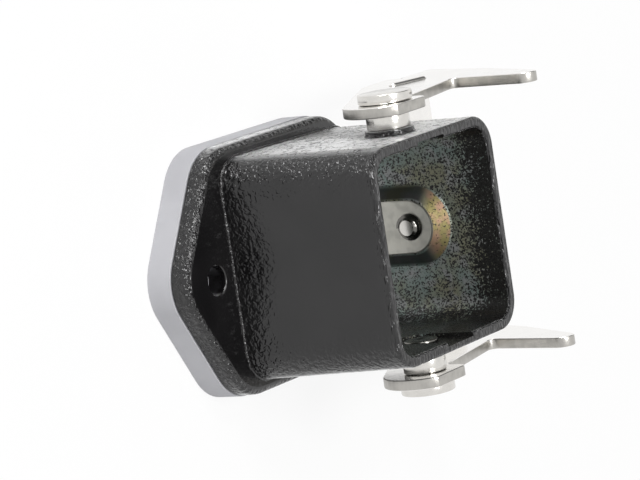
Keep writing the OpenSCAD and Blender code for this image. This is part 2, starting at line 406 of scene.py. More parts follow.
class Value:
    """A socket in a node tree that takes part in Python arithmetic."""

    def __init__(self, graph: "Graph", socket: bpy.types.NodeSocket) -> None:
        """Wraps a socket of a graph."""
        self.graph = graph
        self.socket = socket

    def math(self, operation: str, *others: Any) -> "Value":
        """One Math node on this value and others."""
        inputs = {index: item for index, item in enumerate((self, *others))}
        return self.graph.node("ShaderNodeMath", {"operation": operation}, inputs)

    def __add__(self, other: Any) -> "Value":
        """Sum."""
        return self.math("ADD", other)

    __radd__ = __add__

    def __sub__(self, other: Any) -> "Value":
        """Difference."""
        return self.math("SUBTRACT", other)

    def __rsub__(self, other: float) -> "Value":
        """Difference from a number."""
        return self.graph.node("ShaderNodeMath", {"operation": "SUBTRACT"}, {0: other, 1: self})

    def __mul__(self, other: Any) -> "Value":
        """Product."""
        return self.math("MULTIPLY", other)

    __rmul__ = __mul__

    def __abs__(self) -> "Value":
        """Absolute value."""
        return self.math("ABSOLUTE")

    def __pow__(self, other: float) -> "Value":
        """Power."""
        return self.math("POWER", other)

    def larger(self, other: Any) -> "Value":
        """The larger of two values."""
        return self.math("MAXIMUM", other)

    def ramp(self, low: float, high: float) -> "Value":
        """Smooth step from 0 at low to 1 at high."""
        return self.graph.node("ShaderNodeMapRange", {"interpolation_type": "SMOOTHSTEP"},
                               {"Value": self, "From Min": low, "From Max": high})


class Graph:
    """A node tree that finishes are written into."""

    def __init__(self, tree: bpy.types.NodeTree) -> None:
        """Starts with an empty tree."""
        self.tree = tree
        tree.nodes.clear()

    def node(self, kind: str, settings: dict[str, Any] | None = None,
             inputs: dict[Any, Any] | None = None, output: int | str = 0) -> Value:
        """Adds one node.

        Args:
            kind: The node's type.
            settings: Its own properties, set before its sockets.
            inputs: Values or links of its sockets, by name or index.
            output: The socket to hand back.

        Returns:
            The wrapped output socket.
        """
        node = self.tree.nodes.new(kind)
        for name, setting in (settings or {}).items():
            setattr(node, name, setting)
        for key, item in (inputs or {}).items():
            if isinstance(item, Value):
                self.tree.links.new(item.socket, node.inputs[key])
            else:
                node.inputs[key].default_value = item
        return Value(self, node.outputs[output] if len(node.outputs) else None)

    def point(self) -> Value:
        """Object coordinates, in metres in the part's frame."""
        return self.node("ShaderNodeTexCoord", output="Object")

    def axes(self, point: Value, scale: float = 1.0 / MM) -> tuple[Value, Value, Value]:
        """The three parts of a vector times a scale, which makes a point's millimetres."""
        split = [self.node("ShaderNodeSeparateXYZ", None, {0: point}, index) for index in range(3)]
        return tuple(item * scale for item in split)

    def stretched(self, point: Value, scale: Triple) -> Value:
        """A point scaled along the three axes."""
        return self.node("ShaderNodeVectorMath", {"operation": "MULTIPLY"}, {0: point, 1: scale})

    def noise(self, point: Value, size: float, detail: float = 2.0, rough: float = 0.5,
              twist: float = 0.0) -> Value:
        """Noise from 0 to 1.

        Args:
            point: Where to read it.
            size: Size of its features, in millimetres.
            detail: Number of finer layers.
            rough: Strength of those layers.
            twist: Distortion.

        Returns:
            The noise value.
        """
        return self.node("ShaderNodeTexNoise", None,
                         {"Vector": point, "Scale": 1.0 / (size * MM), "Detail": detail,
                          "Roughness": rough, "Distortion": twist})

    def mix(self, factor: Any, a: Any, b: Any) -> Value:
        """Colour between a, at 0, and b, at 1."""
        a, b = (item if isinstance(item, Value) else (*item, 1.0) for item in (a, b))
        return self.node("ShaderNodeMix", {"data_type": "RGBA"}, {0: factor, 6: a, 7: b}, 2)

    def bump(self, height: Value, depth: float) -> Value:
        """Surface normal of a height that runs from 0 to 1.

        Args:
            height: The height.
            depth: What a height of 1 stands for, in millimetres.

        Returns:
            The normal.
        """
        return self.node("ShaderNodeBump", None,
                         {"Height": height, "Distance": depth * MM, "Strength": 1.0})

    def surface(self, shader: Value) -> None:
        """Links a shader to the material's output."""
        self.node("ShaderNodeOutputMaterial", None, {"Surface": shader})

    def principled(self, **inputs: Any) -> Value:
        """Principled shader; an underscore in an argument's name stands for a space."""
        named = {name.replace("_", " "): item for name, item in inputs.items()}
        return self.node("ShaderNodeBsdfPrincipled", None, named)


@dataclass(frozen=True)
class Finish:
    """A surface finish, made once and shared by the pieces that have it."""

    name: str

    def material(self) -> bpy.types.Material:
        """Makes the finish a material, or finds the one already made.

        Returns:
            The material.
        """
        known = bpy.data.materials.get(self.name)
        if known:
            return known
        made = bpy.data.materials.new(self.name)
        made.use_nodes = True
        graph = Graph(made.node_tree)
        graph.surface(self.shader(graph))
        return made

    def shader(self, graph: Graph) -> Value:
        """The finish's shader; each finish has its own."""
        raise NotImplementedError


@dataclass(frozen=True)
class WrinkledPaint(Finish):
    """Thick black powder coat, calm on flat faces and drawn into wrinkles on rounds and at the foot.

    Sizes and bands are in millimetres, and facings are parts of the surface's normal.
    """

    foot: float
    mouth: float
    pad: float
    shoulder: float
    hole_x: float
    dark: Colour = (0.0035, 0.0032, 0.0036)
    light: Colour = (0.0065, 0.006, 0.0065)
    cloud: float = 6.0
    tint_band: Span = (0.35, 0.65)
    end_facing: Span = (0.94, 0.985)
    side_facing: Span = (0.85, 0.97)
    level_facing: Span = (0.9, 0.98)
    rim_band: Span = (0.3, 1.2)
    foot_band: Span = (1.2, 6.2)
    shoulder_band: Span = (-0.5, 2.0)
    pad_band: Span = (0.0, 0.1)
    pad_foot_band: Span = (0.5, 1.0)
    hole_band: Span = (2.2, 2.8)
    ridge_band: Span = (0.0, 0.3)
    wrinkle: float = 0.44
    fold_band: Span = (0.25, 0.75)
    bead: float = 1.3
    bead_blend: float = 0.6
    stroke: float = 0.32
    stroke_stretch: Triple = (1.0, 0.25, 1.0)
    stroke_band: Span = (0.3, 0.7)
    wave: float = 2.4
    crease_band: Span = (0.0, 0.05)
    depth: float = 0.1
    calm: float = 0.15
    side_calm: float = 0.3
    round_gain: float = 1.1
    ridge_gain: float = 0.9
    crease_gain: float = 2.2
    gloss: float = 0.14
    cloud_rough: float = 0.06
    side_rough: float = 0.14
    ior: float = 1.56
    coat_rough: float = 0.35
    coat_ior: float = 1.8
    bloom: float = 1.0
    bloom_rough: float = 0.3

    def shader(self, graph: Graph) -> Value:
        """Black gloss over beads and folds, with strokes across the rim and creases on the pivot walls.

        Args:
            graph: Node tree to write into.

        Returns:
            The shader.
        """
        point = graph.point()
        x, y, z = graph.axes(point)
        normal = graph.node("ShaderNodeNewGeometry", None, None, "Normal")
        across, aside, up = graph.axes(normal, 1.0)
        above_foot = z - self.foot
        below_rim = (self.mouth - z).ramp(*self.rim_band)
        end_wall = abs(across).ramp(*self.end_facing)
        side_wall = abs(aside).ramp(*self.side_facing)
        level = up.ramp(*self.level_facing)
        off_hole = (((abs(x) - self.hole_x) ** 2.0 + y ** 2.0) ** 0.5).ramp(*self.hole_band)
        rounds = (1.0 - end_wall) * (1.0 - side_wall) * (1.0 - level) * off_hole
        ridge = (self.foot - z).ramp(*self.ridge_band) * off_hole
        flat = end_wall * above_foot.ramp(*self.foot_band)
        flat = flat * (self.shoulder - abs(y)).ramp(*self.shoulder_band)
        flat = flat.larger(level) * below_rim
        on_pad = (abs(y) - self.pad).ramp(*self.pad_band) * above_foot.ramp(*self.pad_foot_band)
        for calm_face in (side_wall * self.side_calm, on_pad, 1.0 - off_hole):
            flat = flat.larger(calm_face)
        folds = graph.noise(point, self.wrinkle, detail=1.0, rough=0.4, twist=0.6)
        drawn = graph.stretched(point, self.stroke_stretch)
        strokes = graph.noise(drawn, self.stroke, detail=1.0, rough=0.4, twist=0.3)
        beads = graph.node("ShaderNodeTexVoronoi", {"feature": "SMOOTH_F1"},
                           {"Vector": point, "Scale": 1.0 / (self.bead * self.wrinkle * MM),
                            "Smoothness": self.bead_blend})
        waves = graph.noise(point, self.wave * self.wrinkle, detail=1.0, twist=0.8)
        crease = (1.0 - abs(waves - 0.5).ramp(*self.crease_band)) * side_wall
        coat = folds.ramp(*self.fold_band) * 0.5 + (1.0 - beads) * 0.5
        coat = coat + (strokes.ramp(*self.stroke_band) - coat) * (1.0 - below_rim)
        swell = 1.0 - flat * (1.0 - self.calm) + rounds * self.round_gain + ridge * self.ridge_gain
        height = coat * swell - crease * self.crease_gain
        cloud = graph.noise(point, self.cloud)
        uncreased = side_wall * (1.0 - crease)
        coated = {
            "Base_Color": graph.mix(cloud.ramp(*self.tint_band), self.dark, self.light),
            "Roughness": self.gloss + cloud * self.cloud_rough + side_wall * self.side_rough,
            "Normal": graph.bump(height, self.depth), "IOR": self.ior, "Coat_Weight": uncreased,
            "Coat_Roughness": self.coat_rough, "Coat_IOR": self.coat_ior}
        plain = graph.principled(**coated)
        bloom = graph.principled(**coated, Sheen_Weight=self.bloom, Sheen_Roughness=self.bloom_rough)
        return graph.node("ShaderNodeMixShader", None, {0: uncreased, 1: plain, 2: bloom})


@dataclass(frozen=True)
class BareCasting(Finish):
    """Chromated metal inside the hood, with black overspray that grows towards the mouth."""

    mouth: float
    boss: float
    screw: float
    boss_r: float
    teal: Colour = (0.25, 0.31, 0.29)
    olive: Colour = (0.28, 0.28, 0.2)
    slate: Colour = (0.33, 0.34, 0.34)
    blush: Colour = (0.35, 0.225, 0.15)
    straw: Colour = (0.27, 0.235, 0.1)
    paint: Colour = (0.013, 0.0125, 0.012)
    cloud: float = 5.0
    patch: float = 1.6
    grain: float = 0.3
    speck: float = 0.2
    tint_band: Span = (0.38, 0.62)
    slate_band: Span = (0.45, 0.7)
    straw_band: Span = (0.4, 0.6)
    boss_rise: float = 1.4
    boss_band: Span = (0.0, 0.1)
    boss_edge: Span = (0.0, 0.5)
    far_half: Span = (0.0, 1.0)
    slope_start: float = 1.4
    slope_band: Span = (0.0, 1.4)
    flank_band: Span = (0.1, 0.3)
    # Painted reflection: share by which the boss's side flanks are darkened towards black, standing in for
    # the dark inner walls that they mirror.
    flank_painted_reflection: float = 0.75
    low_wall_band: Span = (9.0, 10.6)
    mouth_band: Span = (0.8, 6.0)
    speck_band: Span = (-0.05, 0.06)
    cover: float = 0.72
    inside_clear: float = 0.25
    cloud_cover: float = 0.2
    slope_clear: float = 0.1
    flank_clear: float = 0.4
    low_wall_cover: float = 0.16
    metallic: float = 0.75
    rough: float = 0.42
    grain_rough: float = 0.2
    paint_gloss: float = 0.25
    relief: float = 0.05

    def shader(self, graph: Graph) -> Value:
        """Tinted metal under specks of paint.

        Args:
            graph: Node tree to write into.

        Returns:
            The shader.
        """
        point = graph.point()
        x, y, z = graph.axes(point)
        cloud = graph.noise(point, self.cloud)
        patch = graph.noise(point, self.patch)
        grain = graph.noise(point, self.grain, rough=0.6)
        metal = graph.mix(cloud.ramp(*self.tint_band), self.teal, self.olive)
        metal = graph.mix(patch.ramp(*self.slate_band), metal, self.slate)
        on_boss = (self.boss + self.boss_rise - x).ramp(*self.boss_band) * x.ramp(*self.far_half)
        on_boss = on_boss * (self.boss_r - abs(y)).ramp(*self.boss_edge)
        slope = (z - (self.screw + self.slope_start)).ramp(*self.slope_band) * on_boss
        flank = on_boss * (x - self.boss).ramp(*self.flank_band) * (1.0 - slope)
        # Painted reflection: the boss's side flanks are darkened towards the paint's black, standing in for
        # the dark inner walls that they mirror; this is not overspray.
        metal = graph.mix(flank * self.flank_painted_reflection, metal, self.paint)
        warm = graph.mix(patch.ramp(*self.straw_band), self.blush, self.straw)
        metal = graph.mix(slope, metal, warm)
        low_wall = (0.0 - y).ramp(*self.low_wall_band)
        inside = (self.mouth - z).ramp(*self.mouth_band)
        cover = self.cover - inside * self.inside_clear + (cloud - 0.5) * self.cloud_cover
        cover = cover - slope * self.slope_clear - flank * self.flank_clear + low_wall * self.low_wall_cover
        specks = graph.noise(point, self.speck, detail=1.0, twist=0.4)
        painted = (cover - specks).ramp(*self.speck_band)
        return graph.principled(
            Base_Color=graph.mix(painted, metal, self.paint),
            Metallic=self.metallic - painted * self.metallic,
            Roughness=self.rough + grain * self.grain_rough - painted * self.paint_gloss,
            Normal=graph.bump(grain * 0.5 + painted * 0.5, self.relief))


@dataclass(frozen=True)
class LinedMetal(Finish):
    """Bare metal with stains and with fine lines along one way."""

    colour: Colour
    share: float
    stretch: Triple
    line: float
    stain: float
    stain_band: Span
    rough: float
    line_rough: float
    relief: float
    stain_rough: float = 0.0
    stain_detail: float = 2.0
    stain_grain: float = 0.5
    stain_weight: float = 1.0
    line_grain: float = 0.5
    line_weight: float = 0.0

    def shader(self, graph: Graph) -> Value:
        """Stains and lines that change the colour, the gloss and the relief.

        Args:
            graph: Node tree to write into.

        Returns:
            The shader.
        """
        point = graph.point()
        lines = graph.noise(graph.stretched(point, self.stretch), self.line, rough=self.line_grain)
        stain = graph.noise(point, self.stain, self.stain_detail, self.stain_grain)
        dirt = stain.ramp(*self.stain_band) * self.stain_weight + lines * self.line_weight
        return graph.principled(
            Base_Color=graph.mix(dirt, self.colour, shaded(self.colour, self.share)), Metallic=1.0,
            Roughness=self.rough + stain * self.stain_rough + lines * self.line_rough,
            Normal=graph.bump(lines, self.relief))


MILLED_BOSS = LinedMetal(
    "milled_boss", colour=(0.56, 0.55, 0.5), share=0.82, stretch=(1.0, 0.12, 1.0), line=0.12, stain=1.4,
    stain_band=(0.4, 0.65), rough=0.3, line_rough=0.12, relief=0.006)
ROLLED_STAINLESS = LinedMetal(
    "rolled_stainless", colour=(0.9, 0.885, 0.86), share=0.97, stretch=(0.06, 1.0, 1.0), line=0.1,
    stain=2.5, stain_band=(0.35, 0.65), rough=0.12, line_rough=0.04, relief=0.001, stain_rough=0.05,
    stain_detail=3.0, stain_grain=0.6)
SHEARED_EDGE = LinedMetal(
    "sheared_edge", colour=(0.5, 0.485, 0.455), share=0.7, stretch=(1.0, 0.08, 1.0), line=0.14, stain=1.2,
    stain_band=(0.35, 0.7), rough=0.26, line_rough=0.16, relief=0.012, stain_weight=0.5, line_grain=0.6,
    line_weight=0.4)


@dataclass(frozen=True)
class TurnedSteel(Finish):
    """Turned stainless, with fine lathe lines round an axis along X or Y through a point."""

    centre: Span
    along_x: bool = False
    colour: Colour = (0.7, 0.683, 0.65)
    share: float = 0.94
    wobble: float = 0.9
    wobble_band: Span = (0.35, 0.65)
    wobble_shift: float = 2.0
    wobble_rough: float = 0.06
    lines: float = 46.0
    rough: float = 0.16
    relief: float = 0.0008

    def shader(self, graph: Graph) -> Value:
        """Lathe lines on bright metal.

        Args:
            graph: Node tree to write into.

        Returns:
            The shader.
        """
        point = graph.point()
        x, y, z = graph.axes(point)
        across = (y if self.along_x else x) - self.centre[0]
        up = z - self.centre[1]
        radius = (across * across + up * up) ** 0.5
        length = x if self.along_x else y
        wobble = graph.noise(point, self.wobble)
        phase = radius * self.lines + length * self.lines + wobble * self.wobble_shift
        tint = graph.mix(wobble.ramp(*self.wobble_band), self.colour, shaded(self.colour, self.share))
        return graph.principled(
            Base_Color=tint, Metallic=1.0, Roughness=self.rough + wobble * self.wobble_rough,
            Normal=graph.bump(phase.math("SINE") * 0.5 + 0.5, self.relief))


@dataclass(frozen=True)
class SoftRubber(Finish):
    """Matte moulded rubber."""

    colour: Colour
    shade: Colour
    rough: float = 0.62
    cloud: float = 7.0
    cloud_band: Span = (0.3, 0.7)
    grain: float = 0.18
    grain_rough: float = 0.15
    relief: float = 0.012

    def shader(self, graph: Graph) -> Value:
        """Slightly cloudy, finely grained surface.

        Args:
            graph: Node tree to write into.

        Returns:
            The shader.
        """
        point = graph.point()
        cloud = graph.noise(point, self.cloud, detail=3.0)
        grain = graph.noise(point, self.grain)
        return graph.principled(
            Base_Color=graph.mix(cloud.ramp(*self.cloud_band), self.colour, self.shade),
            Roughness=self.rough + grain * self.grain_rough, Normal=graph.bump(grain, self.relief))


GREY_RUBBER = SoftRubber("pale_grey_rubber", (0.51, 0.51, 0.535), (0.46, 0.46, 0.485))
BLACK_RUBBER = SoftRubber("black_rubber", (0.02, 0.02, 0.021), (0.03, 0.03, 0.03), 0.5)


@dataclass(frozen=True)
class Casting:
    """The die-cast hood with its flange, rivet pads and screw boss."""

    half_l: float = 12.7
    half_w: float = 12.0
    wall: float = 1.2
    corner_r: float = 3.5
    bottom: float = 3.0
    flange_top: float = 5.3
    mouth: float = 23.8
    rim_out: float = 0.4
    rim_in: float = 0.3
    near_lean: float = 1.45
    side_lean: float = 0.36
    plinth_out: float = 0.2
    plinth_h: float = 0.2
    flange_half: float = 13.75
    hole_x: float = 17.4
    hole_r: float = 1.65
    hole_lip: float = 0.2
    lip_steps: int = 4
    end_r: float = 5.45
    slant: float = 32.5
    side_r: float = 6.0
    draw_in: float = 5.2
    edge_round: float = 0.85
    edge_foot: float = 0.2
    pivot_z: float = 18.7
    pad_r: float = 2.7
    pad_h: float = 0.7
    pad_foot: float = 0.45
    pad_fillet: Span = (0.14, 0.08)
    pad_fillet_h: float = 0.3
    pad_edge: float = 0.18
    pad_edge_mid: float = 0.05
    shank_r: float = 1.52
    channel_depth: float = 0.45
    channel_w: float = 5.4
    channel_tail: float = 3.2
    screw_z: float = 13.0
    boss_top_r: float = 3.0
    boss_foot_r: float = 4.7
    boss_h: float = 1.5
    boss_edge: float = 0.16
    boss_sharp: float = 25.0
    boss_slack: float = 0.05
    thread_r: float = 1.55
    seat_r: float = 3.15
    seat_depth: float = 0.5
    lap: float = 0.4
    past: float = 1.0

    @property
    def inner_l(self) -> float:
        """Half length of the cavity."""
        return self.half_l - self.wall

    @property
    def inner_w(self) -> float:
        """Half width of the cavity."""
        return self.half_w - self.wall

    @property
    def boss_x(self) -> float:
        """Place of the boss's flat top."""
        return self.inner_l - self.boss_h

    def hood_circles(self, grow: float, lean: float = 0.0) -> list[Circle]:
        """Corner circles of the hood's outline.

        Args:
            grow: How far the outline is moved outwards.
            lean: How far its near end is leant out.

        Returns:
            The circles, anticlockwise.
        """
        x, y, r = self.half_l - self.corner_r, self.half_w - self.corner_r, self.corner_r + grow
        near_x, near_y = -x - lean, y + lean * self.side_lean / self.near_lean
        return [(x, y, r), (near_x, near_y, r), (near_x, -near_y, r), (x, -y, r)]

    def lean(self, z: float) -> float:
        """How far the near wall leans out at a height."""
        return self.near_lean * (self.mouth - z) / (self.mouth - self.flange_top)

    def flange_circles(self, grow: float) -> list[Circle]:
        """Corner circles of the six-sided flange outline.

        Args:
            grow: How far the outline is moved outwards.

        Returns:
            The circles, anticlockwise.
        """
        lean = math.radians(self.slant)
        y = self.flange_half - self.side_r
        reach = self.hole_x * math.cos(lean) + self.end_r
        x = (reach - self.side_r - y * math.sin(lean)) / math.cos(lean)
        strap_x = x - self.draw_in
        side, end = self.side_r + grow, self.end_r + grow
        return [(self.hole_x, 0, end), (strap_x, y, side), (-x, y, side),
                (-self.hole_x, 0, end), (-x, -y, side), (strap_x, -y, side)]

    def keep_on_flange(self, ring: list[BMEdge]) -> list[BMEdge]:
        """Draws a ring of the plinth in where the flange is narrow.

        Args:
            ring: The ring's edges.

        Returns:
            The same edges.
        """
        circles = self.flange_circles(-self.plinth_out)
        low, high = touching_line(circles[0], circles[1])
        along = (high - low).normalized()
        normal = Vector((along.y, -along.x))
        for vert in {v for edge in ring for v in edge.verts}:
            sign = math.copysign(1.0, vert.co.y)
            spot = Vector((vert.co.x, abs(vert.co.y)))
            spot -= normal * max(0.0, (spot - low).dot(normal))
            vert.co.x, vert.co.y = spot.x, sign * spot.y
        return ring

    def hood(self) -> Shape:
        """Solid hood with a round rim, a leaning near wall and a low round plinth at its foot.

        Returns:
            The closed shape.
        """
        shape = Shape()
        path = [(self.plinth_out, self.flange_top - self.lap)]
        path += [(self.plinth_out * math.cos(a), self.flange_top + self.plinth_h * math.sin(a))
                 for a in quarter()]
        path += [(-into, self.mouth - down) for into, down in round_over(self.rim_out)]
        return shape.loft([self.keep_on_flange(shape.trace(self.hood_circles(grow, self.lean(z)), z))
                           for grow, z in path])

    def flange(self) -> Shape:
        """Flange plate with a full round along its upper edge.

        Returns:
            The closed shape.
        """
        shape = Shape()
        path = [(-into, self.flange_top - down) for into, down in reversed(round_over(self.edge_round))]
        path += [(0.0, self.bottom + self.edge_foot), (-self.edge_foot, self.bottom)]
        return shape.loft([shape.trace(self.flange_circles(grow), z) for grow, z in path])

    def cavity(self) -> Shape:
        """Cutter for the inside of the hood, which flares at the rim.

        Returns:
            The cutter.
        """
        shape = Shape()
        path = [(-self.wall, self.bottom - self.past)]
        path += [(into - self.wall, self.mouth - down) for into, down in round_over(self.rim_in)]
        path += [(self.rim_in - self.wall, self.mouth + self.past)]
        return shape.loft([shape.trace(self.hood_circles(grow), z) for grow, z in path])

    def on_pivot(self, side: Side, y: float) -> Matrix:
        """Lays a shape that is drawn along +Z outwards along the pivot axis, from y."""
        return along_y(side.value * y, self.pivot_z, side.value)

    def on_screw(self, x: float) -> Matrix:
        """Lays a shape that is drawn along +Z along +X on the screw's axis, from x."""
        return Matrix.Translation((x, 0, self.screw_z)) @ Matrix.Rotation(RIGHT_ANGLE, 4, "Y")

    def pad(self, side: Side) -> Shape:
        """Cast pad under a rivet, with a soft foot and edge.

        Args:
            side: The pivot side.

        Returns:
            The closed shape.
        """
        lap, r, foot = self.lap, self.pad_r, self.pad_r + self.pad_foot
        top, edge, middle = lap + self.pad_h, self.pad_edge, self.pad_edge_mid
        profile = [(0, 0), (foot, 0), (foot, lap), (r + self.pad_fillet[0], lap + self.pad_fillet[1]),
                   (r, lap + self.pad_fillet_h), (r, top - edge), (r - middle, top - middle),
                   (r - edge, top), (0, top)]
        return Shape().turned(profile).place(self.on_pivot(side, self.half_w - lap))

    def boss(self) -> Shape:
        """Screw boss: round towards the mouth, straight down to the panel side, with sloping sides.

        Returns:
            The closed shape.
        """
        shape = Shape()
        length = self.screw_z - self.bottom
        rings = []
        for r, height in ((self.boss_top_r, 0.0), (self.boss_foot_r, self.boss_h),
                          (self.boss_foot_r, self.boss_h + self.lap)):
            rings.append(shape.trace([(length, -r, 0), (length, r, 0), (0, 0, r)], height))
        shape.loft(rings).soften(self.boss_edge, over=self.boss_sharp,
                                 where=lambda edge: all(v.co.z < MERGE for v in edge.verts))
        return shape.place(self.on_screw(self.boss_x))

    def channel(self, side: Side) -> Shape:
        """Cutter for the channel that clears a rivet's tail.

        Args:
            side: The pivot side.

        Returns:
            The cutter.
        """
        half = self.channel_w / 2
        top = self.mouth - self.pivot_z + self.past
        foot = half - self.channel_tail
        outline = [(half, top, 0), (-half, top, 0), (-half, foot, 0), (0, foot, half), (half, foot, 0)]
        depth = self.lap + self.channel_depth
        y = side.value * (self.inner_w - self.lap + depth / 2) + depth / 2
        return Shape().plate(outline, 0, depth).place(along_y(y, self.pivot_z))

    def mounting_hole(self, end: int) -> Shape:
        """Cutter for the flange hole at one end, with soft lips.

        Args:
            end: Which end of the flange, as a sign along X.

        Returns:
            The cutter.
        """
        low, high, r = self.bottom - self.past, self.flange_top, self.hole_r
        profile = [(0, low), (r, low)]
        profile += [(r + into, high - down) for into, down in round_over(self.hole_lip, self.lip_steps)]
        profile += [(r + self.hole_lip, high + self.past), (0, high + self.past)]
        return Shape().turned(profile).place(Matrix.Translation((end * self.hole_x, 0, 0)))

    def bore(self, radius: float, length: float) -> Shape:
        """Plain round cutter along +Z from the origin."""
        return Shape().turned([(0, 0), (radius, 0), (radius, length), (0, length)])

    def build(self) -> bpy.types.Object:
        """Models the casting and dresses it in paint and bare metal.

        Returns:
            The finished object.
        """
        shape = self.flange().meet(self.hood(), Join.ADD).meet(self.cavity(), Join.CUT)
        for side in Side:
            shape.meet(self.pad(side), Join.ADD)
        shape.meet(self.boss(), Join.ADD)
        for side in Side:
            shape.meet(self.channel(side), Join.CUT)
            drill = self.bore(self.shank_r, self.wall + self.pad_h + 2 * self.past)
            shape.meet(drill.place(self.on_pivot(side, self.inner_w - self.past)), Join.CUT)
        drill = self.bore(self.thread_r, self.half_l - self.boss_x + 2 * self.past)
        shape.meet(drill.place(self.on_screw(self.boss_x - self.past)), Join.CUT)
        seat = self.bore(self.seat_r, self.seat_depth + self.past)
        shape.meet(seat.place(self.on_screw(self.half_l - self.seat_depth)), Join.CUT)
        for end in ENDS:
            shape.meet(self.mounting_hole(end), Join.CUT)
        shape.paint(1, self.is_inside).paint(2, self.is_milled)
        paint = WrinkledPaint("wrinkled_black_paint", self.flange_top, self.mouth, self.half_w + self.lap,
                              self.half_w - self.corner_r, self.hole_x)
        bare = BareCasting("chromated_casting", self.mouth, self.boss_x, self.screw_z, self.boss_foot_r)
        piece = Piece("casting", "housing", "housing_body", "body_paint")
        return shape.finished(piece, [paint, bare, MILLED_BOSS])

    def is_inside(self, face: BMFace) -> bool:
        """Tells faces that look into the cavity, below the round of the rim.

        Args:
            face: A face of the piece.

        Returns:
            Whether it is such a face.
        """
        middle = face.calc_center_median()
        room = self.channel_depth + 2 * MERGE
        inward = face.normal.x * middle.x + face.normal.y * middle.y < 0.0
        return (inward and abs(middle.x) < self.inner_l + 2 * MERGE and abs(middle.y) < self.inner_w + room
                and middle.z < self.mouth - self.rim_in + MERGE)

    def is_milled(self, face: BMFace) -> bool:
        """Tells faces of the boss's flat top and of the screw's bore.

        Args:
            face: A face of the piece.

        Returns:
            Whether it is such a face.
        """
        middle = face.calc_center_median()
        reach = math.hypot(middle.y, middle.z - self.screw_z)
        on_top = abs(middle.x - self.boss_x) < self.boss_slack and abs(middle.y) < self.boss_top_r
        in_bore = reach < self.thread_r and self.boss_x < middle.x < self.half_l
        return on_top or in_bore


@dataclass(frozen=True)
class FlangeGasket:
    """Soft gasket under the flange."""

    casting: Casting
    overhang: float = 0.12
    room: float = 0.4
    edge: float = 0.18

    def build(self) -> bpy.types.Object:
        """Models the gasket with its opening and holes.

        Returns:
            The finished object.
        """
        cast = self.casting
        top, past = cast.bottom, cast.past
        shape = Shape().plate(cast.flange_circles(self.overhang), 0, top)
        opening = cast.hood_circles(self.room - cast.wall)
        shape.meet(Shape().plate(opening, -past, top + past), Join.CUT)
        for end in ENDS:
            hole = cast.bore(cast.hole_r, top + 2 * past)
            shape.meet(hole.place(Matrix.Translation((end * cast.hole_x, 0, -past))), Join.CUT)
        shape.soften(self.edge)
        piece = Piece("gasket", "housing", "flange_gasket", "gasket_rubber")
        return shape.finished(piece, [GREY_RUBBER])


